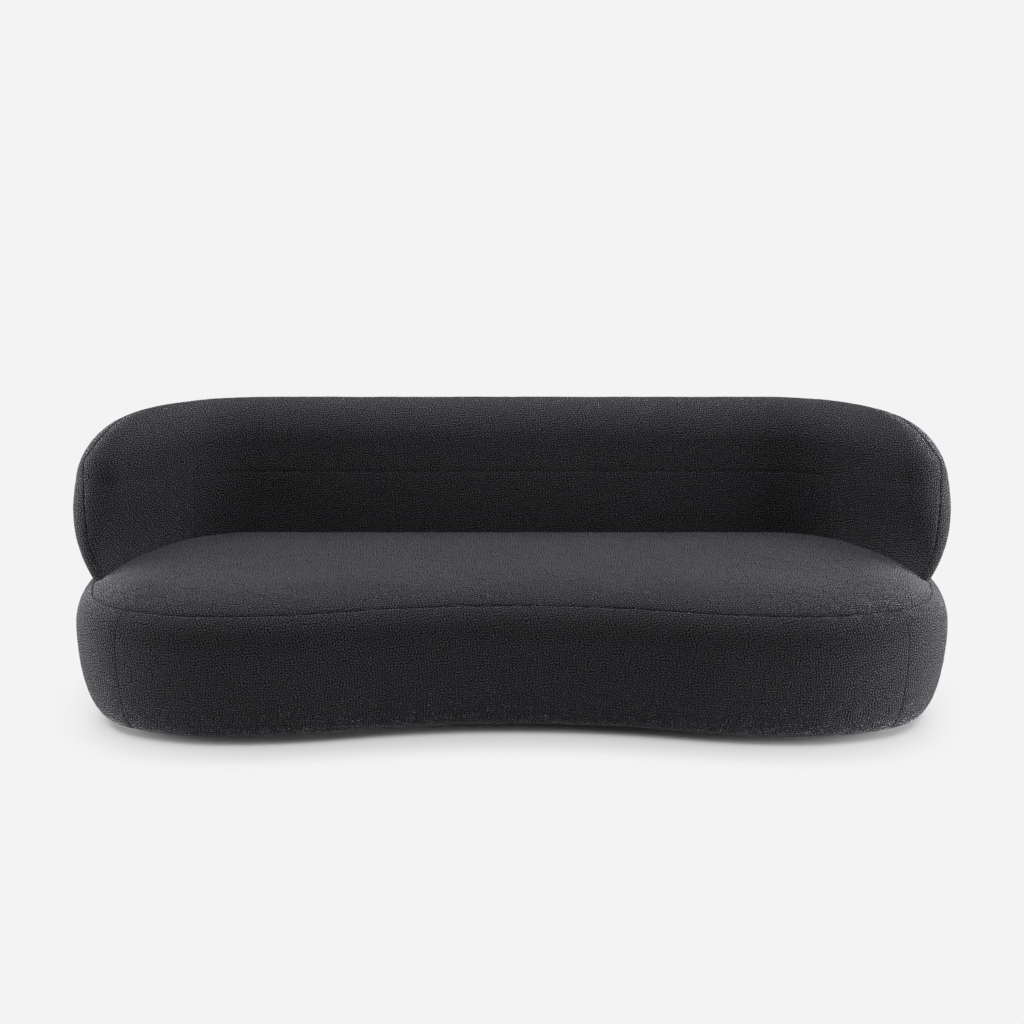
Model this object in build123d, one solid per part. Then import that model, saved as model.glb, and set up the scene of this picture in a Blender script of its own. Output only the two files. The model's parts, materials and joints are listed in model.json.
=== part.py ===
"""Curved sofa: a bean-shaped upholstered seat base and a wrap-around back with arms that taper to low tips."""
from build123d import *
import os
from math import acos, asin, atan2, cos, degrees, radians, sin, sqrt, tan

# Overall form, in millimetres, front towards -Y, floor at Z 0
overall_width = 2460
overall_height = 770
front_y = -500
rear_y = 500

# Seat base outline in plan, at its fullest level
seat_width = 2392
seat_rear_y = 490
front_hollow = 90
hollow_r = 1900
lobe_r = 620
lobe_turn = 25
end_r = 262
end_turn = 76
side_r = 770
rear_corner_r = 470

# Seat base in height
ground_gap = 18
fullest_z = 262
seam_z = 362
seat_top_z = 404
under_tuck = 80
under_curve = 2.2
crown_width = 260
crown_curve = 2.6

# Back in plan and height; it stands in a pocket of the seat, on back_foot_z
inside_y = 173
ridge_y = 350
back_corner_r = 480
inside_corner_x = 755
inside_corner_r = 250
back_foot_z = 334
joint_z = 376
bulge_z = 567
groove_depth = 42
inside_lean = 13
roll_depth = 105
arm_mid_z = 607
arm_low_turn = -25
arm_mid_turn = 4
arm_top_turn = 36
arm_flare = 1.3
nose_share = 0.3
tip_share = 0.29
ridge_flat = 1.5

# Cover panels
fabric = 4
cover_low_r = 408
cover_hip_z = 450
cover_hip_r = 436
cover_turn_z = 660
cover_turn_r = 447
cover_top_r = 368
behind_r = 330
lower_panel_z = 577
lower_panel_half = 920

# Timber base
ply = 18
frame_inset = 66
under_lip = 10
deck_top_z = 270
mid_rail_y = 205
cross_x = (390, 860)
deck_bar = 80
deck_margin = 84
deck_open_rear = 180
board_open_front = -190
board_open_rear = 290
flap_inset = 102

# Webbing, felt and dust cover
strap_width = 70
strap_thick = 2
strap_pitch = 100
strap_inset = 104
strap_rear_y = 225
felt_thick = 5
felt_inset = 100
dust_thick = 1.2

# Timber frame of the back
back_frame_inside_low = 245
back_frame_inside_top = 300
back_frame_rear = 420
back_frame_top_z = 690
back_frame_low_turn = -10
back_frame_top_turn = 13
back_frame_top_shift = 0.8
back_frame_nose = 28
hardboard = 3
rib_x = (0, 300, 600)
rib_turns = (75, 45, 15)
skin_split_r = 350
foam_split_r = 385

# Hardware
foot_r = 25
foot_bottom_r = 22
foot_edge = 2
front_foot_y = -280
side_foot_x = 830
side_foot_y = -260
rear_foot_y = 335
screw_r = 2.5
screw_head_r = 5
screw_head = 3.5
screw_bite = 14
recess_r = 6.5
recess_depth = 18
bolt_r = 4
bolt_head_across = 13
bolt_head = 5.3
washer_r = 8
washer_thick = 1.6
nut_flange_r = 9.5
nut_flange = 1.5
nut_barrel_r = 5
nut_barrel = 10
bolt_past = 4
bolt_x = (150, 450)
bolt_turns = (60, 28)
bolt_turn_r = 346

# Clearances
soft_gap = 0.3
hole_gap = 0.3
turned_gap = 0.1
pocket_gap = 0.6

half_span = 2000
side_x = seat_width / 2
lobe_sine = sin(radians(lobe_turn))
end_sine = sin(radians(end_turn))
lobe_x = side_x - lobe_r * lobe_sine - end_r * (end_sine - lobe_sine) - side_r * (1 - end_sine)
deck_z = deck_top_z - ply
board_z = ground_gap + fabric + under_lip
rail_z = board_z + ply


def unit(angle):
    return Vector(cos(radians(angle)), sin(radians(angle)))


def arc(centre, radius, start, end, z):
    """Arc of under a half circle about a centre in plan."""
    at = [centre + unit(a) * radius for a in (start, (start + end) / 2, end)]
    return Edge.make_three_point_arc(*[Vector(p.X, p.Y, z) for p in at])


def flipped(piece):
    """The same arc on the other side of the sofa, run the other way."""
    centre, radius, start, end = piece
    return Vector(-centre.X, centre.Y), radius, 180 - end, 180 - start


def ends(piece):
    centre, radius, start, end = piece
    return centre + unit(start) * radius, centre + unit(end) * radius


def closed_wire(front, right, z):
    """Loop from the front arc, if any, and the right side's arcs; lines join what doesn't meet."""
    left = [flipped(p) for p in reversed(right)]
    arcs = front + right + left
    edges = []
    for piece, following in zip(arcs, arcs[1:] + arcs[:1]):
        edges.append(arc(*piece, z))
        a = ends(piece)[1]
        b = ends(following)[0]
        if (b - a).length > 0.01:
            edges.append(Edge.make_line(Vector(a.X, a.Y, z), Vector(b.X, b.Y, z)))
    return Wire(edges)


def seat_wire(inset, z=0):
    """Bean outline of the seat base, moved in by an inset."""
    both_r = (lobe_x**2 + front_hollow**2) / (2 * front_hollow)
    swing = degrees(asin(lobe_x / both_r))
    inner_r = both_r - hollow_r
    hollow = Vector(0, front_y + front_hollow - hollow_r)
    inner = Vector(lobe_x, front_y + inner_r)
    lobe = Vector(lobe_x, front_y + lobe_r)
    end = lobe + unit(270 + lobe_turn) * (lobe_r - end_r)
    side = end + unit(270 + end_turn) * (end_r - side_r)
    rear = Vector(side_x - rear_corner_r, seat_rear_y - rear_corner_r)
    front = [(hollow, hollow_r + inset, 90 + swing, 90 - swing)]
    right = [
        (inner, inner_r - inset, 270 - swing, 270),
        (lobe, lobe_r - inset, 270, 270 + lobe_turn),
        (end, end_r - inset, 270 + lobe_turn, 270 + end_turn),
        (side, side_r - inset, 270 + end_turn, 360),
        (rear, rear_corner_r - inset, 0, 90),
    ]
    return closed_wire(front, right, z)


def seat_form(t):
    """Soft form of the seat base, t inside the outer face of the cover."""
    low = ground_gap + t
    high = seat_top_z - t
    under = []
    for share in (1, 0.97, 0.91, 0.8, 0.62, 0.36):
        tuck = 1 - (1 - share**under_curve) ** (1 / under_curve)
        under.append((fullest_z - share * (fullest_z - low), t + (under_tuck - t) * tuck))
    crown = []
    for roll in (0, 0.008, 0.03, 0.065, 0.104, 0.17, 0.26, 0.37, 0.48, 0.6, 0.72, 0.85):
        rise = (1 - (1 - roll) ** crown_curve) ** (1 / crown_curve)
        crown.append((fullest_z + rise * (high - fullest_z), t + (crown_width - t) * roll))
    return Solid.make_loft([seat_wire(inset, z) for z, inset in under + crown])


def smooth(share):
    """Ease from 0 to 1, level at both ends."""
    share = min(max(share, 0), 1)
    return share * share * (3 - 2 * share)


def back_wire(z, inside, outside, shift, turn, nose):
    """Crescent outline of the back: inside face, arm faces, rounded noses, outside face."""
    rear = Vector(overall_width / 2 - back_corner_r, rear_y - back_corner_r)
    low_centre = Vector(inside_corner_x, inside_y - inside_corner_r)
    centre = low_centre + (rear - low_centre) * shift
    rear_r = outside - rear.Y
    inside_r = inside - centre.Y
    tip = rear + unit(turn) * (rear_r - nose)
    reach = tip - centre
    face = degrees(atan2(reach.Y, reach.X) + acos((inside_r + nose) / reach.length))
    right = [
        (centre, inside_r, 90, face),
        (tip, nose, 180 + face, 360 + turn),
        (rear, rear_r, turn, 90),
    ]
    return closed_wire([], right, z)


def back_form(t, low=back_foot_z):
    """Soft form of the back, t inside the outer face of the cover, from a level upwards."""
    top = overall_height - t
    roll_z = overall_height - roll_depth
    lean = tan(radians(inside_lean))
    roll_back = ridge_y - inside_y - lean * (overall_height - joint_z) - t
    wires = []
    for share in (0, 0.09, 0.2, 0.32, 0.44, 0.57, 0.69, 0.79, 0.87, 0.93, 0.975, 1):
        z = low + share * (top - ridge_flat - low)
        up = (z - joint_z) / (overall_height - joint_z)
        rolled = max(0, (z - roll_z) / (top - roll_z))
        inside = inside_y + t + lean * (z - joint_z) + roll_back * (1 - sqrt(1 - rolled**2))
        outside = rear_y - t - groove_depth * ((bulge_z - z) / (bulge_z - joint_z)) ** 2
        if z > bulge_z:
            over = (z - bulge_z) / (top - bulge_z)
            outside = ridge_y + (rear_y - ridge_y - t) * sqrt(1 - over**2)
        if z < arm_mid_z:
            flare = ((arm_mid_z - z) / (arm_mid_z - joint_z)) ** arm_flare
            turn = arm_mid_turn + (arm_low_turn - arm_mid_turn) * flare
        else:
            over = (z - arm_mid_z) / (overall_height - arm_mid_z)
            turn = arm_mid_turn + (arm_top_turn - arm_mid_turn) * (1 - sqrt(1 - over**2))
        full = tip_share + (1 - tip_share) * smooth((z - joint_z) / (arm_mid_z - joint_z))
        nose = nose_share * full * (outside - inside + 2 * t) - t
        wires.append(back_wire(z, inside, outside, smooth(up), turn, nose))
    return Solid.make_loft(wires)


def back_frame_form(t, low, high):
    """Envelope of the timber back frame, t inside its outer face, between two levels."""
    wires = []
    for z in (low, high):
        share = (z - deck_top_z) / (back_frame_top_z - deck_top_z)
        inside = back_frame_inside_low + t + share * (back_frame_inside_top - back_frame_inside_low)
        turn = back_frame_low_turn + share * (back_frame_top_turn - back_frame_low_turn)
        shift = share * back_frame_top_shift
        wires.append(back_wire(z, inside, back_frame_rear - t, shift, turn, back_frame_nose - t))
    return Solid.make_loft(wires, ruled=True)


def prism(inset, low, high):
    """Upright block with the seat outline."""
    return extrude(Face(seat_wire(inset, low)), high - low, dir=(0, 0, 1))


def block(x0, x1, y0, y1, z0, z1):
    return Pos((x0 + x1) / 2, (y0 + y1) / 2, (z0 + z1) / 2) * Box(x1 - x0, y1 - y0, z1 - z0)


def layer(low, high):
    return block(-half_span, half_span, -half_span, half_span, low, high)


def stadium_plan(radius, z=0):
    """Slot along the back, at a radius from its corner centres."""
    reach = overall_width / 2 - back_corner_r
    return Pos(0, rear_y - back_corner_r, z) * SlotCenterToCenter(2 * reach, 2 * radius)


def stadium(radius):
    return extrude(stadium_plan(radius), overall_height + ply)


def stand(shape, spots, z=0):
    """Copies of a shape at places in plan."""
    return [Pos(x, y, z) * shape for x, y in spots]


def save(name, *shapes):
    """Write one node; its separate solids stay separate."""
    solids = [s for shape in shapes for s in shape.solids()]
    export_step(solids[0] if len(solids) == 1 else Compound(solids), f"parts/{name}.step")


def main_solid(shape):
    return max(shape.solids(), key=lambda s: s.volume)


os.makedirs("parts", exist_ok=True)

# Places of the hardware
rear_centre = Vector(overall_width / 2 - back_corner_r, rear_y - back_corner_r)
foot_spots = [(0, front_foot_y), (0, rear_foot_y)]
foot_spots += [(side * side_foot_x, y) for side in (-1, 1) for y in (side_foot_y, rear_foot_y)]
bolt_y = (back_frame_inside_low + back_frame_rear) / 2
bolt_spots = [(side * x, bolt_y) for side in (-1, 1) for x in bolt_x]
for side in (-1, 1):
    for turn in bolt_turns:
        spot = rear_centre + unit(turn) * bolt_turn_r
        bolt_spots.append((side * spot.X, spot.Y))

# Timber base: bottom board, rails, cross rails and deck
inner_inset = frame_inset + ply
bays = [(-cross_x[0], cross_x[0]), (cross_x[0], cross_x[1]), (-cross_x[1], -cross_x[0])]
half_bar = deck_bar / 2
board = prism(frame_inset, board_z, rail_z)
for x0, x1 in bays:
    board -= block(x0 + half_bar, x1 - half_bar, board_open_front, board_open_rear, 0, deck_z)
for hole in stand(Cylinder(screw_r + turned_gap, 4 * ply), foot_spots, board_z):
    board -= hole
save("base_bottom_board", board)

ring = prism(frame_inset, rail_z, deck_z) - prism(inner_inset, rail_z, deck_z)
seam_out = unit(270 + lobe_turn) * half_span
wedge_top = front_y + lobe_r
wedge = Polyline(
    (-lobe_x, wedge_top),
    (-lobe_x - seam_out.X, wedge_top + seam_out.Y),
    (lobe_x + seam_out.X, wedge_top + seam_out.Y),
    (lobe_x, wedge_top),
    close=True,
)
front_zone = extrude(make_face(wedge), overall_height, dir=(0, 0, 1))
rear_half = side_x - rear_corner_r
rear_zone = block(-rear_half, rear_half, 0, half_span, 0, overall_height)
left_zone = block(-half_span, 0, -half_span, half_span, 0, overall_height)
right_zone = block(0, half_span, -half_span, half_span, 0, overall_height)
rest = ring - front_zone - rear_zone
save("base_front_rail", ring & front_zone)
save("base_rear_rail", ring & rear_zone)
save("base_left_end_rail", rest & left_zone)
save("base_right_end_rail", rest & right_zone)

core = prism(inner_inset, rail_z, deck_z)
mid_rail = core & block(-half_span, half_span, mid_rail_y, mid_rail_y + ply, rail_z, deck_z)
save("base_mid_rail", mid_rail)
cross_rails = []
for x in (-cross_x[1], -cross_x[0], cross_x[0], cross_x[1]):
    rail = core & block(x - ply / 2, x + ply / 2, -half_span, half_span, rail_z, deck_z)
    cross_rails += (rail - mid_rail).solids()
save("base_cross_rails", *cross_rails)

deck = prism(frame_inset, deck_z, deck_top_z)
deck_hole = prism(frame_inset + deck_margin, deck_z, deck_top_z)
for x0, x1 in bays:
    deck -= deck_hole & block(x0 + half_bar, x1 - half_bar, -half_span, deck_open_rear, deck_z, deck_top_z)
for hole in stand(Cylinder(bolt_r + hole_gap, 4 * ply), bolt_spots, deck_z):
    deck -= hole
save("base_deck", deck)

# Timber frame of the back, standing on the deck
back_low = deck_top_z + ply
back_high = back_frame_top_z - ply
frame = back_frame_form(0, deck_top_z, back_frame_top_z)
hollow = back_frame_form(hardboard, deck_top_z, back_frame_top_z)
rib_room = back_frame_form(hardboard + turned_gap, deck_top_z, back_frame_top_z)
plate = frame & layer(deck_top_z, back_low)
for hole in stand(Cylinder(nut_barrel_r + turned_gap, 4 * ply), bolt_spots, deck_top_z):
    plate -= hole
save("back_bottom_plate", plate)
save("back_top_plate", frame & layer(back_high, back_frame_top_z))
bent = (frame - hollow) & layer(back_low, back_high)
save("back_inside_panel", main_solid(bent & stadium(skin_split_r)))
save("back_outside_panel", main_solid(bent - stadium(skin_split_r)))

slab = block(-ply / 2, ply / 2, 0, half_span, back_low, back_high)
ribs = [rib_room & (Pos(x, 0, 0) * slab) for x in sorted({s * x for x in rib_x for s in (-1, 1)})]
for turn in rib_turns:
    turned = Pos(rear_centre.X, rear_centre.Y, 0) * Rot(0, 0, turn - 90) * slab
    rib = rib_room & turned
    ribs += [rib, mirror(rib, about=Plane.YZ)]
save("back_ribs", *ribs)

# Seat support: webbing straps, felt, then foam
straps = []
strap_core = prism(strap_inset, deck_top_z, deck_top_z + strap_thick)
for x0, x1 in bays:
    count = int((x1 - x0 - deck_bar - strap_width) // strap_pitch) + 1
    for i in range(count):
        x = (x0 + x1) / 2 + (i - (count - 1) / 2) * strap_pitch
        left = x - strap_width / 2
        right = x + strap_width / 2
        straps.append(strap_core & block(left, right, -half_span, strap_rear_y, 0, half_span))
save("seat_webbing", *straps)

felt_z = deck_top_z + strap_thick
felt_top = felt_z + felt_thick
pocket = back_frame_form(-pocket_gap, deck_top_z - ply, back_frame_top_z)
felt = main_solid(prism(felt_inset, felt_z, felt_top) - pocket)
save("seat_felt", felt)

seat_outer = seat_form(0)
seat_inner = seat_form(fabric)
seat_soft = seat_form(fabric + soft_gap)
back_clear = back_form(-soft_gap)
felt_room = main_solid(prism(felt_inset - soft_gap, deck_top_z, felt_top + soft_gap) - pocket)
foam = (seat_soft & layer(deck_top_z, overall_height)) - pocket - felt_room - back_clear
save("seat_foam", main_solid(foam))

border = seat_soft & layer(0, deck_top_z)
border -= prism(frame_inset - soft_gap, board_z, deck_top_z + ply)
border -= prism(flap_inset, 0, board_z + ply)
save("seat_border_foam", main_solid(border))

# Seat cover: top panel, front panel, end panels and rear panel, split at the seams
shell = seat_outer - seat_inner - prism(flap_inset, 0, board_z) - back_clear
behind = block(-half_span, half_span, 0, half_span, seam_z, overall_height) - stadium(behind_r)
save("seat_top_cover", main_solid((shell & layer(seam_z, overall_height)) - behind))
skirt = shell & (layer(0, seam_z) + behind)
skirt_rest = skirt - front_zone - rear_zone
save("seat_front_cover", main_solid(skirt & front_zone))
save("seat_rear_cover", main_solid(skirt & rear_zone))
save("seat_left_end_cover", main_solid(skirt_rest & left_zone))
save("seat_right_end_cover", main_solid(skirt_rest & right_zone))

dust = prism(flap_inset + hole_gap, board_z - dust_thick, board_z)
for hole in stand(Cylinder(foot_r + hole_gap, 4 * ply), foot_spots, board_z):
    dust -= hole
save("dust_cover", dust)

# Back foam: inside pad, one pad for each arm, outside pad and top roll
back_soft = back_form(fabric + soft_gap)
frame_room = back_frame_form(-soft_gap, deck_top_z, back_frame_top_z + soft_gap)
low_foam = (back_soft & layer(back_foot_z, back_frame_top_z + soft_gap)) - frame_room
inside_foam = low_foam & stadium(foam_split_r)
mid_zone = block(-inside_corner_x, inside_corner_x, -half_span, half_span, 0, overall_height)
save("back_inside_foam", main_solid(inside_foam & mid_zone))
save("left_arm_foam", main_solid((inside_foam - mid_zone) & left_zone))
save("right_arm_foam", main_solid((inside_foam - mid_zone) & right_zone))
save("back_outside_foam", main_solid(low_foam - stadium(foam_split_r)))
save("back_top_foam", main_solid(back_soft & layer(back_frame_top_z + soft_gap, overall_height)))

# Back cover: outside panel, lower inside panel, and the wrap over the top and round the arms
back_shell = back_form(0) - back_form(fabric, back_foot_z - fabric)
cover_line = [
    stadium_plan(cover_low_r, back_foot_z - fabric).wire(),
    stadium_plan(cover_hip_r, cover_hip_z).wire(),
    stadium_plan(cover_turn_r, cover_turn_z).wire(),
    stadium_plan(cover_top_r, overall_height).wire(),
]
wrap_zone = Solid.make_loft(cover_line, ruled=True)
inside_cover = back_shell & wrap_zone
lower_zone = block(-lower_panel_half, lower_panel_half, -half_span, ridge_y, 0, lower_panel_z)
save("back_outside_cover", main_solid(back_shell - wrap_zone))
save("back_lower_cover", main_solid(inside_cover & lower_zone))
save("back_wrap_cover", main_solid(inside_cover - lower_zone))

# Feet with their screws
foot_body = extrude(Circle(foot_bottom_r), board_z, taper=-degrees(atan2(foot_r - foot_bottom_r, board_z)))
foot_body = fillet(foot_body.edges().sort_by(Axis.Z)[0], foot_edge)
foot_body -= Cylinder(recess_r, 2 * recess_depth)
foot_body -= Cylinder(screw_r + hole_gap, 4 * board_z)
save("feet", *stand(foot_body, foot_spots))
screw_top = board_z + screw_bite
screw = Pos(0, 0, recess_depth - screw_head / 2) * Cylinder(screw_head_r, screw_head)
screw += Pos(0, 0, (recess_depth + screw_top) / 2) * Cylinder(screw_r, screw_top - recess_depth)
save("foot_screws", *stand(screw, foot_spots))

# Bolts that hold the back to the deck
washer_z = deck_z - washer_thick
washer = Cylinder(washer_r, washer_thick) - Cylinder(bolt_r + hole_gap, 2 * washer_thick)
save("back_bolt_washers", *stand(washer, bolt_spots, washer_z + washer_thick / 2))
bolt_top = back_low + nut_flange + bolt_past
bolt = extrude(RegularPolygon(bolt_head_across / 2, 6, major_radius=False), bolt_head)
bolt += Pos(0, 0, bolt_head) * extrude(Circle(bolt_r), bolt_top - washer_z)
save("back_bolts", *stand(bolt, bolt_spots, washer_z - bolt_head))
nut = extrude(Circle(nut_flange_r), nut_flange)
nut += Pos(0, 0, -nut_barrel) * extrude(Circle(nut_barrel_r), nut_barrel)
nut -= Cylinder(bolt_r + turned_gap, 4 * nut_barrel)
save("back_tee_nuts", *stand(nut, bolt_spots, back_low))
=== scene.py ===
"""Curved boucle sofa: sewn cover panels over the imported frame, with materials, light and camera."""
import json
from math import acos, asin, atan2, cos, degrees, hypot, pi, radians, sin, sqrt, tan

import bmesh
import bpy
import numpy as np
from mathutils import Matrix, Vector, kdtree, noise


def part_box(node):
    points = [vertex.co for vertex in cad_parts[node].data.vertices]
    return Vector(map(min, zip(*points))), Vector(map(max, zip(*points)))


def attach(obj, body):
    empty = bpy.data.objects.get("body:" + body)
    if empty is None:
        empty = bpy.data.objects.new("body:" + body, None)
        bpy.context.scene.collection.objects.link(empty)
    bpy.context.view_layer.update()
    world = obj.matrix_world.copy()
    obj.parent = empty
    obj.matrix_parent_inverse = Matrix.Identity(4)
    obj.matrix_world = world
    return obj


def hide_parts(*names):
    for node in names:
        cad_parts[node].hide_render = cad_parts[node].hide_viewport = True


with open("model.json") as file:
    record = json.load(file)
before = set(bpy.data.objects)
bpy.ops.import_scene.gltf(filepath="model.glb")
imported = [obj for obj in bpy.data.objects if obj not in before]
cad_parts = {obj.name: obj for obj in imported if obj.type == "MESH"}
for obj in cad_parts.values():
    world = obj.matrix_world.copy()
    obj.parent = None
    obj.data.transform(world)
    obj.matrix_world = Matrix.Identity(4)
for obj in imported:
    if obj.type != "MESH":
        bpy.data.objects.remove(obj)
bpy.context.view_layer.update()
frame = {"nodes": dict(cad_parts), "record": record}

# Driving sizes of the two soft forms, as in the part's source, in metres and degrees
overall_width = 2.460
overall_height = 0.770
front_y = -0.500
rear_y = 0.500
seat_width = 2.392
seat_rear_y = 0.490
front_hollow = 0.090
hollow_r = 1.900
lobe_r = 0.620
lobe_turn = 25
end_r = 0.262
end_turn = 76
side_r = 0.770
rear_corner_r = 0.470
ground_gap = 0.018
fullest_z = 0.262
seam_z = 0.362
seat_top_z = 0.404
under_tuck = 0.080
under_curve = 2.2
crown_width = 0.260
crown_curve = 2.6
inside_y = 0.173
ridge_y = 0.350
back_corner_r = 0.480
inside_corner_x = 0.755
inside_corner_r = 0.250
back_foot_z = 0.334
joint_z = 0.376
bulge_z = 0.567
groove_depth = 0.042
inside_lean = 13
roll_depth = 0.105
arm_mid_z = 0.607
arm_low_turn = -25
arm_mid_turn = 4
arm_top_turn = 36
arm_flare = 1.3
nose_share = 0.3
tip_share = 0.29
fabric = 0.004
cover_low_r = 0.408
cover_hip_z = 0.450
cover_hip_r = 0.436
cover_turn_z = 0.660
cover_turn_r = 0.447
cover_top_r = 0.368
lower_panel_z = 0.577
lower_panel_half = 0.920
flap_inset = 0.102

# Cloth: mesh pitch, sewn grooves and the unevenness of looped yarn over foam
pitch = 0.0065
seam_step = 0.0020
groove = 0.0030
groove_half = 0.0024
pull_in = 0.0007
pull_half = 0.014
faint_seam = 0.40
waviness = 0.0012
lumps = 0.0005
loops = 0.0005
wave_scale = 8
pucker_scale = 38
lump_scale = 45
loop_scale = 170
pucker_share = 0.5
seam_dots = 0.0015
tuck_under = 0.020
tucked_y = -0.100
tucked_inset = 0.055
staple_margin = 0.004
sheet_sag = 0.0035
sheet_ripple = 0.0015
sheet_ripple_scale = 9
sheet_edge = 0.10
sheet_columns = 90
sheet_rows = 60
noise_slice = 3

# Fineness of the working lines, rows of the roll up to its last angle, and what counts as the same place
arc_points = 160
run_points = 200
seam_search = 400
roll_rows = 24
roll_end = 88.5
weld = 1e-5
same_level = 1e-6
rim_margin = 1e-4

# Core lines that the panels face away from: half length, y and z
seat_core = (0.75, 0, 0.2)
back_core = (0.70, 0.31, 0.55)

# Yarn: spacing, relief and groups of its ridges, the reach of their sum, their drift, and fuzz on top
yarn_period = 0.0067
yarn_relief = 0.0023
yarn_groups = 8
yarn_swing = 3.4
drift_scale = 38
drift_reach = 0.010
fuzz_scale = 800
worm_share = 0.86
fuzz_share = 0.16
dye_scale = 6

# Studio: white of the floor and background, fill light from the world, and reach of the contact shadow
pale = (0.896, 0.896, 0.896, 1)
world_light = 0.08
floor_size = 60
contact_reach = 0.25

# Camera found from the photo's outline
camera_y = -4.600
camera_z = 1.797
camera_down = 15.57
focal_pixels = 1702
image_pixels = 1024

side_x = seat_width / 2
lobe_sine = sin(radians(lobe_turn))
end_sine = sin(radians(end_turn))
lobe_x = side_x - lobe_r * lobe_sine - end_r * (end_sine - lobe_sine) - side_r * (1 - end_sine)
rear_centre = np.array([overall_width / 2 - back_corner_r, rear_y - back_corner_r])
mirror = np.array([-1.0, 1.0, 1.0])


def unit(angle):
    """Direction at an angle in degrees."""
    return np.array([cos(radians(angle)), sin(radians(angle))])


def smooth(share):
    """Ease from 0 to 1, level at both ends."""
    share = min(max(share, 0), 1)
    return share * share * (3 - 2 * share)


def spread(length):
    """Shares from 0 to 1 at the cloth's pitch, with two closer steps beside each sewn end."""
    count = max(2, round(length / pitch))
    close = [seam_step / length, 2 * seam_step / length]
    return sorted(list(np.linspace(0, 1, count + 1)) + close + [1 - share for share in close])


def at_height(points, z):
    """Plan points lifted to a height."""
    return np.column_stack([points, np.full(len(points), z)])


# Seat base outline: a column is a place on it, and an inset moves the column inwards
def seat_columns():
    """Columns of the right half's front, end and rear panels.

    Each has an arc's centre and radius, the sign of an inset and a direction.
    """
    both_r = (lobe_x**2 + front_hollow**2) / (2 * front_hollow)
    swing = degrees(asin(lobe_x / both_r))
    inner_r = both_r - hollow_r
    hollow = np.array([0, front_y + front_hollow - hollow_r])
    inner = np.array([lobe_x, front_y + inner_r])
    lobe = np.array([lobe_x, front_y + lobe_r])
    end = lobe + unit(270 + lobe_turn) * (lobe_r - end_r)
    side = end + unit(270 + end_turn) * (end_r - side_r)
    rear = np.array([side_x - rear_corner_r, seat_rear_y - rear_corner_r])
    front_arcs = [
        (hollow, hollow_r, 1, 90, 90 - swing),
        (inner, inner_r, -1, 270 - swing, 270),
        (lobe, lobe_r, -1, 270, 270 + lobe_turn),
    ]
    end_arcs = [
        (end, end_r, -1, 270 + lobe_turn, 270 + end_turn),
        (side, side_r, -1, 270 + end_turn, 360),
        (rear, rear_corner_r, -1, 0, 90),
    ]
    spots = [np.array([rear[0] * (1 - share), rear[1]]) for share in spread(rear[0])]
    rear_run = [(spot, rear_corner_r, -1, unit(90)) for spot in spots]
    return {"front": along(front_arcs), "end": along(end_arcs), "rear": rear_run}


def along(arcs):
    """Columns at the cloth's pitch along joined arcs."""
    lengths = [abs(radians(last - first)) * radius for _, radius, _, first, last in arcs]
    marks = np.cumsum([0] + lengths)
    columns = []
    for share in spread(marks[-1]):
        reach = share * marks[-1]
        k = min(int(np.searchsorted(marks, reach, side="right")) - 1, len(arcs) - 1)
        centre, radius, sign, first, last = arcs[k]
        angle = first + (last - first) * (reach - marks[k]) / lengths[k]
        columns.append((centre, radius, sign, unit(angle)))
    return columns


def seat_points(columns, inset):
    """Plan points of columns at an inset."""
    return np.array([centre + (radius + sign * inset) * way for centre, radius, sign, way in columns])


def crown_height(inset):
    """Height of the seat's skin at an inset from its fullest outline."""
    roll = np.clip(inset / crown_width, 0, 1)
    return fullest_z + (seat_top_z - fullest_z) * (1 - (1 - roll) ** crown_curve) ** (1 / crown_curve)


def crown_inset(z):
    """Inset of the seat's skin at a height above its fullest outline."""
    rise = (z - fullest_z) / (seat_top_z - fullest_z)
    return crown_width * (1 - (1 - rise**crown_curve) ** (1 / crown_curve))


def skirt_levels():
    """Heights and insets from the top seam down to the fullest level, round the tuck and along the flap."""
    close = 0.6 * seam_step
    first = 0.7 * pitch
    heights = [seam_z, seam_z - close, seam_z - 2 * close]
    heights += list(np.linspace(seam_z - first, fullest_z, round((seam_z - fullest_z) / pitch)))
    levels = [(z, crown_inset(z)) for z in heights]
    under_rows = round(1.5 * (fullest_z - ground_gap) / pitch)
    for turn in np.linspace(0, pi / 2, under_rows)[1:]:
        drop = sin(turn) ** (2 / under_curve)
        tuck = 1 - cos(turn) ** (2 / under_curve)
        levels.append((fullest_z - drop * (fullest_z - ground_gap), under_tuck * tuck))
    levels += [(ground_gap, inset) for inset in np.arange(under_tuck + pitch, flap_inset, pitch)]
    levels.append((ground_gap + pitch, flap_inset))
    return levels


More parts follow.
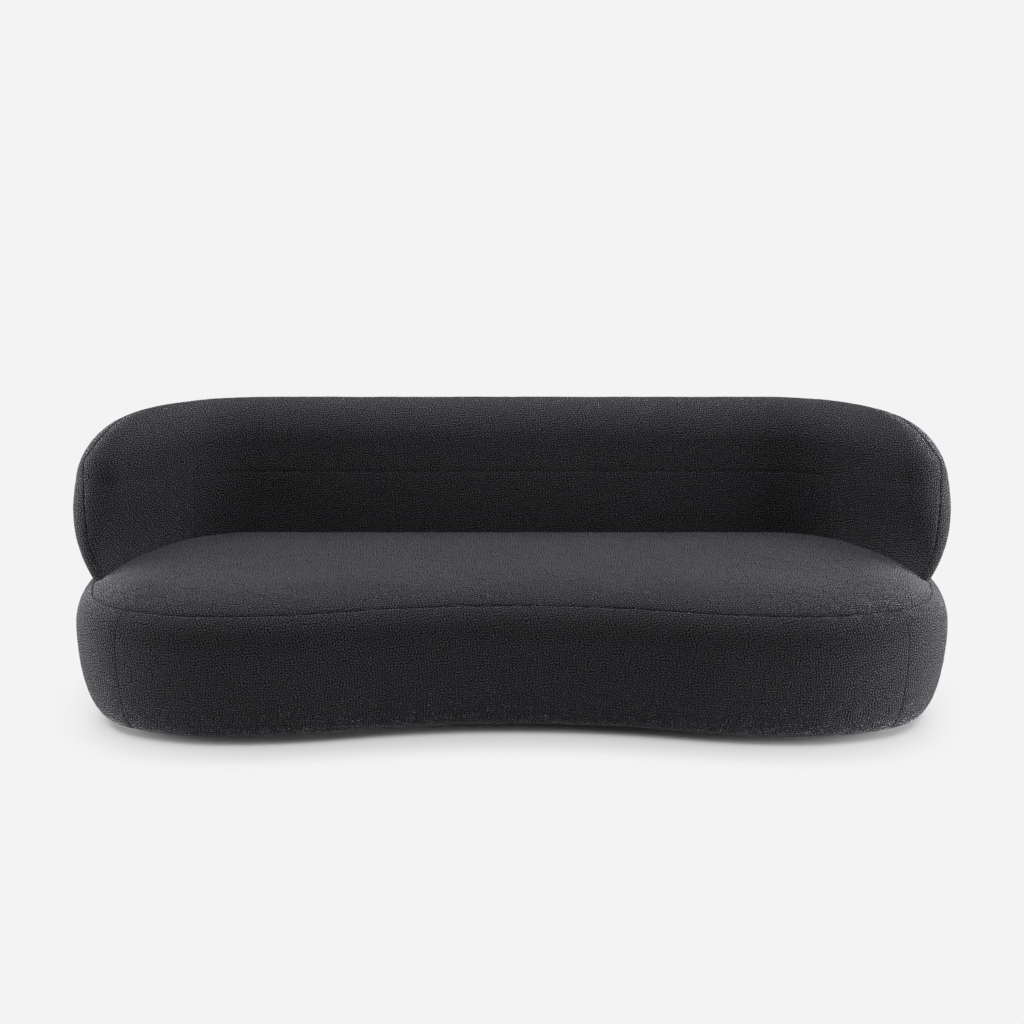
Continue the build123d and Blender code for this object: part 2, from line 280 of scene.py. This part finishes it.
# Back: half outlines at each height, split into runs at the seams
def back_section(z):
    """Inside and outside lines, turn of the arm tip, nose radius and inside corner centre at a height."""
    lean = tan(radians(inside_lean))
    rolled = max(0, (z - overall_height + roll_depth) / roll_depth)
    roll_back = ridge_y - inside_y - lean * (overall_height - joint_z)
    inside = inside_y + lean * (z - joint_z) + roll_back * (1 - sqrt(1 - rolled**2))
    outside = rear_y - groove_depth * ((bulge_z - z) / (bulge_z - joint_z)) ** 2
    if z > bulge_z:
        over = (z - bulge_z) / (overall_height - bulge_z)
        outside = ridge_y + (rear_y - ridge_y) * sqrt(1 - over**2)
    if z < arm_mid_z:
        flare = ((arm_mid_z - z) / (arm_mid_z - joint_z)) ** arm_flare
        turn = arm_mid_turn + (arm_low_turn - arm_mid_turn) * flare
    else:
        over = (z - arm_mid_z) / (overall_height - arm_mid_z)
        turn = arm_mid_turn + (arm_top_turn - arm_mid_turn) * (1 - sqrt(1 - over**2))
    full = tip_share + (1 - tip_share) * smooth((z - joint_z) / (arm_mid_z - joint_z))
    low_centre = np.array([inside_corner_x, inside_y - inside_corner_r])
    centre = low_centre + (rear_centre - low_centre) * smooth((z - joint_z) / (overall_height - joint_z))
    return inside, outside, turn, nose_share * full * (outside - inside), centre


def sweep(centre, radius, first, last):
    """Close points along an arc."""
    return np.array([centre + radius * unit(a) for a in np.linspace(first, last, arc_points)])


def back_half(z):
    """Close points along the right half of the outline: inside face and arm, nose, and outside face."""
    inside, outside, turn, nose, centre = back_section(z)
    rear_r = outside - rear_centre[1]
    inside_r = inside - centre[1]
    tip = rear_centre + unit(turn) * (rear_r - nose)
    reach = tip - centre
    face = degrees(atan2(reach[1], reach[0]) + acos((inside_r + nose) / hypot(*reach)))
    inner = np.vstack([[[0, inside]], sweep(centre, inside_r, 90, face)])
    front = sweep(tip, nose, 180 + face, 360 + turn)
    outer = np.vstack([sweep(rear_centre, rear_r, turn, 90), [[0, outside]]])
    return inner, front, outer


def resample(points, shares):
    """Points at shares of a polyline's length."""
    steps = np.hypot(*np.diff(points, axis=0).T)
    marks = np.concatenate([[0], np.cumsum(steps)]) / steps.sum()
    return np.column_stack([np.interp(shares, marks, points[:, k]) for k in (0, 1)])


def split_r(z):
    """Distance of the outside panel's seam from the corner centres at a height."""
    heights = (back_foot_z - fabric, cover_hip_z, cover_turn_z, overall_height)
    return np.interp(z, heights, (cover_low_r, cover_hip_r, cover_turn_r, cover_top_r))


def back_runs(z, shares):
    """Middle, wing and outside runs of the right half at one height, at shares of their lengths."""
    inner, front, outer = back_half(z)
    path = np.vstack([inner, front[1:]])
    side = len(inner) - 1
    if inner[-1, 0] > lower_panel_half:
        side = np.searchsorted(inner[:, 0], lower_panel_half)
    before, after = path[side - 1], path[side]
    share = (lower_panel_half - before[0]) / (after[0] - before[0])
    corner = before + min(max(share, 0), 1) * (after - before)
    far = np.hypot(*(front - rear_centre).T)
    sewn = int(np.searchsorted(far, split_r(z)))
    if sewn >= len(front):
        seam_point = front[-1]
        sewn = len(front) - 1
    else:
        part = (split_r(z) - far[sewn - 1]) / (far[sewn] - far[sewn - 1])
        seam_point = front[sewn - 1] + part * (front[sewn] - front[sewn - 1])
    middle = np.vstack([path[:side], corner])
    wing = np.vstack([corner, path[side:len(inner)], front[1:sewn], seam_point])
    outside = np.vstack([seam_point, front[sewn:], outer[1:]])
    return [at_height(resample(run, s), z) for run, s in zip((middle, wing, outside), shares)]


def top_seam_z():
    """Height at which the seam of the outside panel runs along the rear."""
    heights = np.linspace(cover_turn_z, overall_height, seam_search)
    past = [back_section(z)[1] - rear_centre[1] - split_r(z) for z in heights]
    return float(np.interp(0, past[::-1], heights[::-1]))


def back_levels(seams):
    """Heights up the back, closer together over the roll, with every seam on a level of its own."""
    roll_z = overall_height - roll_depth
    levels = list(np.linspace(back_foot_z, roll_z, round((roll_z - back_foot_z) / pitch)))
    turns = np.linspace(0, radians(roll_end), roll_rows)[1:]
    levels += [roll_z + roll_depth * sin(turn) for turn in turns]
    clear = 0.6 * pitch
    close = 0.9 * seam_step
    levels = [z for z in levels if min(abs(z - seam) for seam in seams) > clear]
    for seam in seams:
        levels += [seam - close, seam, seam + close]
    return sorted(levels)


# Meshes
def grid(rows):
    """Vertices and quads of a grid of points."""
    rows = np.array(rows)
    high, wide = rows.shape[:2]
    corner = np.add.outer(np.arange(high - 1) * wide, np.arange(wide - 1)).ravel()
    quads = np.column_stack([corner, corner + 1, corner + wide + 1, corner + wide])
    return rows.reshape(-1, 3), quads


def both_sides(grids):
    """The same grids with their mirror images on the left half."""
    return grids + [(points * mirror, quads[:, ::-1]) for points, quads in grids]


def stitched(name, grids, core, cap_z=None):
    """One mesh from several grids, joined where they touch, facing away from a core line."""
    starts = np.cumsum([0] + [len(points) for points, _ in grids])
    points = np.vstack([points for points, _ in grids])
    quads = np.vstack([quads + start for (_, quads), start in zip(grids, starts)])
    data = bpy.data.meshes.new(name)
    data.from_pydata(points.tolist(), [], quads.tolist())
    mesh = bmesh.new()
    mesh.from_mesh(data)
    bmesh.ops.remove_doubles(mesh, verts=mesh.verts, dist=weld)
    if cap_z:
        rim = [e for e in mesh.edges if e.is_boundary and min(v.co.z for v in e.verts) > cap_z]
        cap = bmesh.ops.contextual_create(mesh, geom=rim)["faces"]
        bmesh.ops.triangulate(mesh, faces=cap)
    bmesh.ops.recalc_face_normals(mesh, faces=mesh.faces)
    mesh.to_mesh(data)
    mesh.free()
    middles = read(data.polygons, "center")
    hearts = np.tile(core, (len(middles), 1))
    hearts[:, 0] = np.clip(middles[:, 0], -core[0], core[0])
    if (read(data.polygons, "normal") * (middles - hearts)).sum() < 0:
        data.flip_normals()
    data.shade_smooth()
    piece = bpy.data.objects.new(name, data)
    bpy.context.scene.collection.objects.link(piece)
    return piece


def read(items, name):
    """A vector property of many mesh items as rows."""
    values = np.empty(3 * len(items))
    items.foreach_get(name, values)
    return values.reshape(-1, 3)


def tree_of(points):
    """Search tree of points."""
    tree = kdtree.KDTree(len(points))
    for k, p in enumerate(points):
        tree.insert(p, k)
    tree.balance()
    return tree


def rough(places, scale):
    """Smooth noise at many places."""
    return np.array([noise.noise(place * scale) for place in places])


def sew(piece, seams, depths):
    """Press the seams in, with puckers along them, and raise the uneven loops of the cloth."""
    vertices = piece.data.vertices
    places = [v.co.copy() for v in vertices]
    nearest = [seams.find(place) for place in places]
    away = np.array([found[2] for found in nearest])
    pucker = depths[[found[1] for found in nearest]] * (1 + pucker_share * rough(places, pucker_scale))
    pressed = groove * np.exp(-((away / groove_half) ** 2))
    pressed += pull_in * np.exp(-((away / pull_half) ** 2))
    lift = waviness * rough(places, wave_scale) + lumps * rough(places, lump_scale)
    lift += loops * rough(places, loop_scale)
    normals = np.array([v.normal[:] for v in vertices])
    moved = np.array(places) + normals * (lift - pucker * pressed)[:, None]
    vertices.foreach_set("co", moved.ravel())
    piece.data.update()


def upholster_seat(seat):
    """Cover panels of the seat base: front, rear, two ends and top."""
    levels = skirt_levels()
    panels = {name: grid([at_height(seat_points(columns, inset), z) for z, inset in levels])
              for name, columns in seat.items()}
    above = [(crown_height(i), i) for i in np.arange(crown_inset(seam_z), tucked_inset, pitch)]
    for name in ("end", "rear"):
        columns = [c for c in seat[name] if seat_points([c], 0)[0][1] > tucked_y]
        panels[name + "_tuck"] = grid([at_height(seat_points(columns, i), z) for z, i in above])
    end = [panels["end"], panels["end_tuck"]]
    rear = [panels["rear"], panels["rear_tuck"]]
    return [
        stitched("seat_front_panel", both_sides([panels["front"]]), seat_core),
        stitched("seat_rear_panel", both_sides(rear), seat_core),
        stitched("seat_right_end_panel", end, seat_core),
        stitched("seat_left_end_panel", both_sides(end)[len(end):], seat_core),
        top_panel(seat),
    ]


def top_panel(seat):
    """Crowned top of the seat: from its front seam to a line that is tucked in under the back."""
    centre = back_section(seat_top_z)[-1]
    columns = seat["front"] + [c for c in seat["end"][1:] if seat_points([c], 0)[0][1] < tucked_y]
    shares = np.linspace(0, 1, len(columns))
    inner, front, _ = back_half(seat_top_z)
    tucked = inner + np.array([0, tuck_under])
    arm = inner[:, 0] > inside_corner_x
    outwards = inner[arm] - centre
    tucked[arm] = inner[arm] + tuck_under * outwards / np.hypot(*outwards.T)[:, None]
    last = resample(np.vstack([tucked, front.mean(axis=0)]), shares)
    seam_inset = crown_inset(seam_z)
    rows = [seat_points(columns, seam_inset + step) for step in (0, seam_step, pitch, 2 * pitch)]
    count = round((inside_y - front_y) / pitch)
    rows += [rows[-1] + (last - rows[-1]) * share for share in np.linspace(0, 1, count)[1:]]
    outline = seat["front"] + seat["end"][1:] + seat["rear"][1:]
    skin = tree_of(at_height(seat_points(outline, 0), 0))
    crowned = []
    for row in rows:
        depths = np.array([skin.find((x, y, 0))[2] for x, y in row])
        crowned.append(np.column_stack([row, crown_height(depths)]))
    return stitched("seat_top_panel", both_sides([grid(crowned)]), seat_core)


def upholster_back():
    """Cover panels of the back, and its seams: each a line of points and a depth."""
    rear_seam = top_seam_z()
    sample = back_runs(arm_mid_z, [np.linspace(0, 1, run_points)] * 3)
    shares = [spread(np.hypot(*np.diff(run[:, :2], axis=0).T).sum()) for run in sample]
    levels = back_levels([lower_panel_z, rear_seam])
    runs = [back_runs(z, shares) for z in levels]
    low = levels.index(lower_panel_z)
    high = levels.index(rear_seam)
    middle, wing, outside = [[row[k] for row in runs] for k in range(3)]
    wrap = [grid(wing), grid(middle[low:]), grid(outside[high:])]
    below_rim = levels[-1] - rim_margin
    panels = [
        stitched("back_lower_panel", both_sides([grid(middle[:low + 1])]), back_core),
        stitched("back_outside_panel_cover", both_sides([grid(outside[:high + 1])]), back_core),
        stitched("back_wrap_panel", both_sides(wrap), back_core, below_rim),
    ]
    arm_end = np.array([row[0] for row in outside[:high]])
    upright = np.array([row[0] for row in wing[:low]])
    return panels, [(middle[low], faint_seam), (outside[high], 1), (arm_end, 1), (upright, faint_seam)]


def dense(points):
    """Points at a close step along a line."""
    length = np.linalg.norm(np.diff(points, axis=0), axis=1).sum()
    shares = np.linspace(0, 1, max(2, int(length / seam_dots)))
    marks = np.linspace(0, 1, len(points))
    return np.column_stack([np.interp(shares, marks, points[:, k]) for k in range(3)])


def seam_tree(seat, back_seams):
    """Search tree of close points along every seam of both halves, and the depth at each point."""
    seam_inset = crown_inset(seam_z)
    lines = [(at_height(seat_points(seat[name], seam_inset), seam_z), 1) for name in ("front", "end")]
    skirt = skirt_levels()
    for corner, depth in ((seat["front"][-1], faint_seam), (seat["rear"][0], 1)):
        lines.append((np.array([[*seat_points([corner], inset)[0], z] for z, inset in skirt]), depth))
    dotted = [(dense(line), depth) for line, depth in lines + back_seams]
    points = np.vstack([dots for dots, _ in dotted])
    depths = np.concatenate([np.full(len(dots), depth) for dots, depth in dotted])
    sewn = ~((points[:, 1] > tucked_y) & (abs(points[:, 2] - seam_z) < same_level))
    points = points[sewn]
    return tree_of(np.vstack([points, points * mirror])), np.tile(depths[sewn], 2)


# Materials
class Shade:
    """Builds a node material: textures in object space, one shader."""

    def __init__(self, name, **sockets):
        self.material = bpy.data.materials.new(name)
        self.material.use_nodes = True
        self.tree = self.material.node_tree
        self.shader = self.tree.nodes["Principled BSDF"]
        self.place = self.add("ShaderNodeTexCoord").outputs["Object"]
        for socket, value in sockets.items():
            self.shader.inputs[socket.replace("_", " ")].default_value = value

    def add(self, kind, links=None, **settings):
        """New node with its settings, and sockets that are linked or given a value."""
        made = self.tree.nodes.new(kind)
        for name, value in settings.items():
            setattr(made, name, value)
        for socket, value in (links or {}).items():
            if isinstance(value, bpy.types.NodeSocket):
                self.tree.links.new(value, made.inputs[socket])
            else:
                made.inputs[socket].default_value = value
        return made

    def noise(self, scale, detail=2, distortion=0.0, place=None, roughness=0.5):
        links = {"Vector": place or self.place, "Scale": scale, "Detail": detail, "Distortion": distortion}
        return self.add("ShaderNodeTexNoise", {**links, "Roughness": roughness}).outputs[0]

    def voronoi(self, scale):
        links = {"Vector": self.place, "Scale": scale}
        return self.add("ShaderNodeTexVoronoi", links).outputs["Distance"]

    def warped(self, scale, reach):
        """Object space pushed about by a slow noise."""
        links = {"Vector": self.place, "Scale": scale, "Detail": 0.0}
        drift = self.add("ShaderNodeTexNoise", links).outputs["Color"]
        push = self.add("ShaderNodeVectorMath", {0: drift, 3: reach}, operation="SCALE").outputs[0]
        return self.vector("ADD", self.place, push)[0]

    def vector(self, operation, a, b=(0, 0, 0)):
        return self.add("ShaderNodeVectorMath", {0: a, 1: b}, operation=operation).outputs

    def ripples(self, place, period, groups):
        """Winding ridges: plane waves of nearly one length, three at right angles in each group.

        A wave counts less the nearer it runs to the surface's normal, where it would make broad stripes.
        """
        normal = self.add("ShaderNodeTexCoord").outputs["Normal"]
        total = 0.0
        for k in range(groups):
            turn = (1.3 * k, 2.1 * k + 0.4, 0.7 * k * k)
            stretch = 0.86 + 0.28 * k / (groups - 1)
            pace = 2 * pi / (period * stretch)
            links = {"Vector": place, "Location": turn, "Rotation": turn, "Scale": (pace, pace, pace)}
            waves = self.vector("SINE", self.add("ShaderNodeMapping", links).outputs[0])[0]
            facing = self.add("ShaderNodeMapping", {"Vector": normal, "Rotation": turn}).outputs[0]
            share = self.vector("SUBTRACT", (1, 1, 1), self.vector("MULTIPLY", facing, facing)[0])[0]
            total = self.math("ADD", self.vector("DOT_PRODUCT", waves, share)["Value"], total)
        return total

    def stretch(self, scale):
        """Object space scaled along each axis."""
        return self.add("ShaderNodeMapping", {"Vector": self.place, "Scale": scale}).outputs[0]

    def math(self, operation, a, b=0.0):
        return self.add("ShaderNodeMath", {0: a, 1: b}, operation=operation).outputs[0]

    def spread_of(self, value, low, high, to_low, to_high):
        """A value mapped from one range to another, and held inside it."""
        links = {0: value, 1: low, 2: high, 3: to_low, 4: to_high}
        return self.add("ShaderNodeMapRange", links).outputs[0]

    def ramp(self, value, stops):
        """Colours at places along a value; the ramp has two stops already, and the rest are added."""
        made = self.add("ShaderNodeValToRGB", {"Fac": value})
        edges = made.color_ramp.elements
        for k, (place, colour) in enumerate(stops):
            stop = edges[k] if k < 2 else edges.new(place)
            stop.position = place
            stop.color = (*colour, 1)
        return made.outputs[0]

    def tinted(self, colour, tint):
        """One colour multiplied by another."""
        made = self.add("ShaderNodeMix", data_type="RGBA", blend_type="MULTIPLY")
        sockets = {socket.identifier: socket for socket in made.inputs}
        sockets["Factor_Float"].default_value = 1.0
        self.tree.links.new(colour, sockets["A_Color"])
        self.tree.links.new(tint, sockets["B_Color"])
        return next(socket for socket in made.outputs if socket.identifier == "Result_Color")

    def finish(self, colour, roughness, height, depth, strength=1.0):
        """Link colour, roughness and relief to the shader."""
        bump = self.add("ShaderNodeBump", {"Height": height, "Distance": depth, "Strength": strength})
        self.tree.links.new(colour, self.shader.inputs["Base Color"])
        self.tree.links.new(roughness, self.shader.inputs["Roughness"])
        self.tree.links.new(bump.outputs[0], self.shader.inputs["Normal"])
        return self.material


def boucle():
    """Charcoal boucle loops: curled, crisp little worms in relief, a soft sheen and even dye; the colour
    has painted shade in the gaps and painted highlights on the loop tops.
    """
    s = Shade("boucle", Sheen_Roughness=0.28, Specular_IOR_Level=0.15)
    s.shader.inputs["Sheen Tint"].default_value = (0.86, 0.83, 0.92, 1)
    ridges = s.ripples(s.warped(drift_scale, drift_reach), yarn_period, yarn_groups)
    worms = s.spread_of(ridges, -yarn_swing, yarn_swing, 0.0, 1.0)
    fuzz = s.noise(fuzz_scale)
    height = s.math("ADD", s.math("MULTIPLY", worms, worm_share), s.math("MULTIPLY", fuzz, fuzz_share))
    # Colour follows the relief height: painted shade in the gaps between loops, painted highlights on the
    # loop tops, and the charcoal's own tone at the middle stop
    yarn_painted_shade_and_highlight = s.ramp(height, [
        (0.10, (0.0030, 0.0029, 0.0037)),
        (0.95, (0.052, 0.0500, 0.0565)),
        (0.52, (0.0215, 0.0207, 0.0239)),
    ])
    dye = s.spread_of(s.noise(dye_scale), 0.3, 0.7, 0.95, 1.05)
    grey = s.add("ShaderNodeCombineColor", {"Red": dye, "Green": dye, "Blue": dye}).outputs[0]
    s.tree.links.new(s.spread_of(height, 0.20, 0.80, 0.0, 0.86), s.shader.inputs["Sheen Weight"])
    roughness = s.spread_of(height, 0.2, 1.0, 0.98, 0.80)
    return s.finish(s.tinted(yarn_painted_shade_and_highlight, grey), roughness, height, yarn_relief)


def timber():
    """Raw plywood: long grain with darker bands."""
    s = Shade("timber", Specular_IOR_Level=0.3)
    grain = s.noise(9, detail=6, distortion=1.2, place=s.stretch((1.5, 22, 22)), roughness=0.6)
    pores = s.noise(60, place=s.stretch((4, 60, 60)))
    colour = s.ramp(grain, [(0.3, (0.42, 0.28, 0.16)), (0.7, (0.70, 0.53, 0.34))])
    return s.finish(colour, s.spread_of(pores, 0.3, 0.7, 0.62, 0.80), pores, depth=0.0006, strength=0.4)


def hardboard():
    """Pressed brown fibre."""
    s = Shade("hardboard", Specular_IOR_Level=0.3)
    fibre = s.noise(260, detail=4, distortion=0.6)
    colour = s.ramp(fibre, [(0.3, (0.20, 0.12, 0.07)), (0.7, (0.34, 0.22, 0.13))])
    return s.finish(colour, s.spread_of(fibre, 0.3, 0.7, 0.55, 0.75), fibre, depth=0.0004, strength=0.4)


def woven(name, dark, light, threads):
    """Plain weave of crossing threads."""
    s = Shade(name, Sheen_Weight=0.15, Specular_IOR_Level=0.3)
    links = {"Vector": s.place, "Scale": threads, "Distortion": 0.4}
    warp = s.add("ShaderNodeTexWave", links, bands_direction="X").outputs["Fac"]
    weft = s.add("ShaderNodeTexWave", links, bands_direction="Y").outputs["Fac"]
    height = s.math("MAXIMUM", warp, weft)
    colour = s.ramp(s.math("MULTIPLY", height, s.noise(300)), [(0.2, dark), (0.7, light)])
    return s.finish(colour, s.spread_of(height, 0, 1, 0.95, 0.75), height, depth=0.0006, strength=0.6)


def fibrous(name, dark, light, scale):
    """Needled or bonded fibres lying every way."""
    s = Shade(name, Sheen_Weight=0.2, Specular_IOR_Level=0.2)
    fibre = s.noise(scale, detail=5, distortion=2.0)
    colour = s.ramp(fibre, [(0.3, dark), (0.7, light)])
    return s.finish(colour, s.spread_of(fibre, 0.3, 0.7, 0.97, 0.82), fibre, depth=0.0008, strength=0.6)


def foam():
    """Open cells of upholstery foam."""
    s = Shade("foam", Specular_IOR_Level=0.2)
    cells = s.voronoi(600)
    colour = s.ramp(cells, [(0.1, (0.66, 0.60, 0.42)), (0.6, (0.90, 0.86, 0.70))])
    return s.finish(colour, s.spread_of(cells, 0, 0.7, 0.95, 0.80), cells, depth=0.0008, strength=0.6)


def moulded():
    """Matt black moulded foot, lightly scuffed."""
    s = Shade("foot_plastic", Specular_IOR_Level=0.4)
    spark = s.noise(900)
    scuff = s.noise(90, detail=4, distortion=1.0)
    colour = s.ramp(scuff, [(0.45, (0.012, 0.012, 0.013)), (0.75, (0.030, 0.030, 0.031))])
    return s.finish(colour, s.spread_of(scuff, 0.3, 0.7, 0.42, 0.60), spark, depth=0.0002, strength=0.35)


def plated():
    """Zinc-plated steel with fine drawn lines."""
    s = Shade("steel", Metallic=1.0)
    lines = s.noise(40, detail=3, place=s.stretch((30, 30, 2)))
    colour = s.ramp(lines, [(0.3, (0.48, 0.49, 0.50)), (0.7, (0.66, 0.66, 0.67))])
    return s.finish(colour, s.spread_of(lines, 0.3, 0.7, 0.28, 0.45), lines, depth=0.0001, strength=0.3)


def dress_nodes(slots, cloth):
    """Give every carried-over CAD node the material of its slot."""
    for part in frame["record"]["subparts"]:
        piece = frame["nodes"][part["node"]]
        piece.data.materials.clear()
        piece.data.materials.append(slots.get(part["material_slot"], cloth))


def dust_sheet(seat):
    """Thin cloth stapled under the base, with a slight sag between its staples."""
    low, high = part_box("dust_cover")
    level = (low.z + high.z) / 2
    outline = seat["front"] + seat["end"][1:] + seat["rear"][1:]
    rim = seat_points(outline, flap_inset - staple_margin)
    widest = int(rim[:, 0].argmax())
    across = rim[widest, 0] * np.sin(np.linspace(0, pi / 2, sheet_columns))
    front = np.interp(across, rim[:widest + 1, 0], rim[:widest + 1, 1])
    rear = np.interp(across, rim[widest:, 0][::-1], rim[widest:, 1][::-1])
    rows = []
    for share in np.linspace(0, 1, sheet_rows):
        y = front + (rear - front) * share
        edge = np.minimum(np.minimum(share, 1 - share) * (rear - front), rim[widest, 0] - across)
        spots = np.column_stack([across, y]) * sheet_ripple_scale
        ripple = np.array([noise.noise(Vector((px, py, noise_slice))) for px, py in spots])
        sag = (sheet_sag + sheet_ripple * ripple) * (1 - np.exp(-edge / sheet_edge))
        rows.append(np.column_stack([across, y, level - sag]))
    sheet = stitched("dust_sheet", both_sides([grid(rows)]), seat_core)
    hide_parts("dust_cover")
    return sheet


# Studio
def aim(thing, target):
    """Turn a lamp to face a point."""
    thing.rotation_euler = (Vector(target) - thing.location).to_track_quat("-Z", "Y").to_euler()


def softbox(name, place, target, wide, high, watts):
    """Rectangular lamp at a place, facing a target."""
    data = bpy.data.lights.new(name, "AREA")
    data.shape = "RECTANGLE"
    data.size = wide
    data.size_y = high
    data.energy = watts
    lamp = bpy.data.objects.new(name, data)
    lamp.location = place
    bpy.context.scene.collection.objects.link(lamp)
    aim(lamp, target)


def backdrop():
    """Dim fill light all round, seen by the camera and in reflections as a pale background."""
    world = bpy.data.worlds.new("studio")
    world.use_nodes = True
    bpy.context.scene.world = world
    tree = world.node_tree
    ray = tree.nodes.new("ShaderNodeLightPath")
    seen = tree.nodes.new("ShaderNodeMath")
    seen.operation = "MAXIMUM"
    tree.links.new(ray.outputs["Is Camera Ray"], seen.inputs[0])
    tree.links.new(ray.outputs["Is Glossy Ray"], seen.inputs[1])
    level = tree.nodes.new("ShaderNodeMapRange")
    level.inputs["To Min"].default_value = world_light
    level.inputs["To Max"].default_value = 1.0
    tree.links.new(seen.outputs[0], level.inputs["Value"])
    tree.nodes["Background"].inputs["Color"].default_value = pale
    tree.links.new(level.outputs[0], tree.nodes["Background"].inputs["Strength"])


def lay_floor():
    """Floor that is even and pale away from the sofa and keeps the sofa's shadow close to it."""
    bpy.ops.mesh.primitive_plane_add(size=floor_size)
    floor = bpy.context.object
    floor.name = "floor"
    shade = Shade("floor")
    glow = shade.add("ShaderNodeEmission", {"Color": pale, "Strength": 1.0})
    matt = shade.add("ShaderNodeBsdfDiffuse", {"Color": pale})
    path = shade.add("ShaderNodeLightPath")
    seen = shade.math("MAXIMUM", path.outputs["Is Camera Ray"], path.outputs["Is Glossy Ray"])
    seen = shade.math("MAXIMUM", seen, path.outputs["Is Transmission Ray"])
    clear = shade.add("ShaderNodeAmbientOcclusion", {"Distance": contact_reach}).outputs["AO"]
    fade = shade.ramp(clear, [(0.26, (0, 0, 0)), (0.80, (1, 1, 1)), (0.36, (0.55, 0.55, 0.55))])
    share = shade.math("MULTIPLY", fade, seen)
    both = shade.add("ShaderNodeMixShader", {0: share, 1: matt.outputs[0], 2: glow.outputs[0]})
    shade.tree.links.new(both.outputs[0], shade.tree.nodes["Material Output"].inputs["Surface"])
    floor.data.materials.append(shade.material)


def place_camera():
    """The photo's camera."""
    data = bpy.data.cameras.new("camera")
    data.sensor_width = 36
    data.lens = focal_pixels / image_pixels * data.sensor_width
    camera = bpy.data.objects.new("camera", data)
    camera.location = (0, camera_y, camera_z)
    camera.rotation_euler = (radians(90 - camera_down), 0, 0)
    bpy.context.scene.collection.objects.link(camera)
    bpy.context.scene.camera = camera


cloth = boucle()
dress_nodes({
    "timber": timber(),
    "hardboard": hardboard(),
    "webbing": woven("webbing", (0.02, 0.02, 0.022), (0.10, 0.10, 0.11), 180),
    "felt": fibrous("felt", (0.34, 0.33, 0.32), (0.56, 0.55, 0.53), 320),
    "dust_cloth": fibrous("dust_cloth", (0.010, 0.010, 0.010), (0.032, 0.032, 0.033), 500),
    "foam": foam(),
    "foot_plastic": moulded(),
    "steel": plated(),
}, cloth)

seat = seat_columns()
seat_panels = upholster_seat(seat)
back_panels, back_seams = upholster_back()
seams, depths = seam_tree(seat, back_seams)

stands_for = {
    "seat_top_panel": ("seat_top_cover", "seat_foam"),
    "seat_front_panel": ("seat_front_cover", "seat_border_foam"),
    "seat_rear_panel": ("seat_rear_cover",),
    "seat_left_end_panel": ("seat_left_end_cover",),
    "seat_right_end_panel": ("seat_right_end_cover",),
    "back_lower_panel": ("back_lower_cover", "back_inside_foam"),
    "back_wrap_panel": ("back_wrap_cover", "back_top_foam", "left_arm_foam", "right_arm_foam"),
    "back_outside_panel_cover": ("back_outside_cover", "back_outside_foam"),
}
for piece in seat_panels + back_panels:
    sew(piece, seams, depths)
    piece.data.materials.append(cloth)
    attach(piece, "root")
    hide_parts(*stands_for[piece.name])

sheet = dust_sheet(seat)
sheet.data.materials.append(bpy.data.materials["dust_cloth"])
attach(sheet, "root")

bpy.context.scene.view_settings.view_transform = "Standard"
backdrop()
lay_floor()
softbox("top_box", (0, 0.75, 3.1), (0, 0.25, 0.35), wide=4.5, high=1.6, watts=162)
softbox("left_box", (-3.2, -0.05, 0.40), (-0.6, 0, 0.36), wide=2.0, high=0.74, watts=94)
softbox("right_box", (3.2, -0.55, 0.40), (0.6, 0, 0.36), wide=2.0, high=0.74, watts=118)
place_camera()
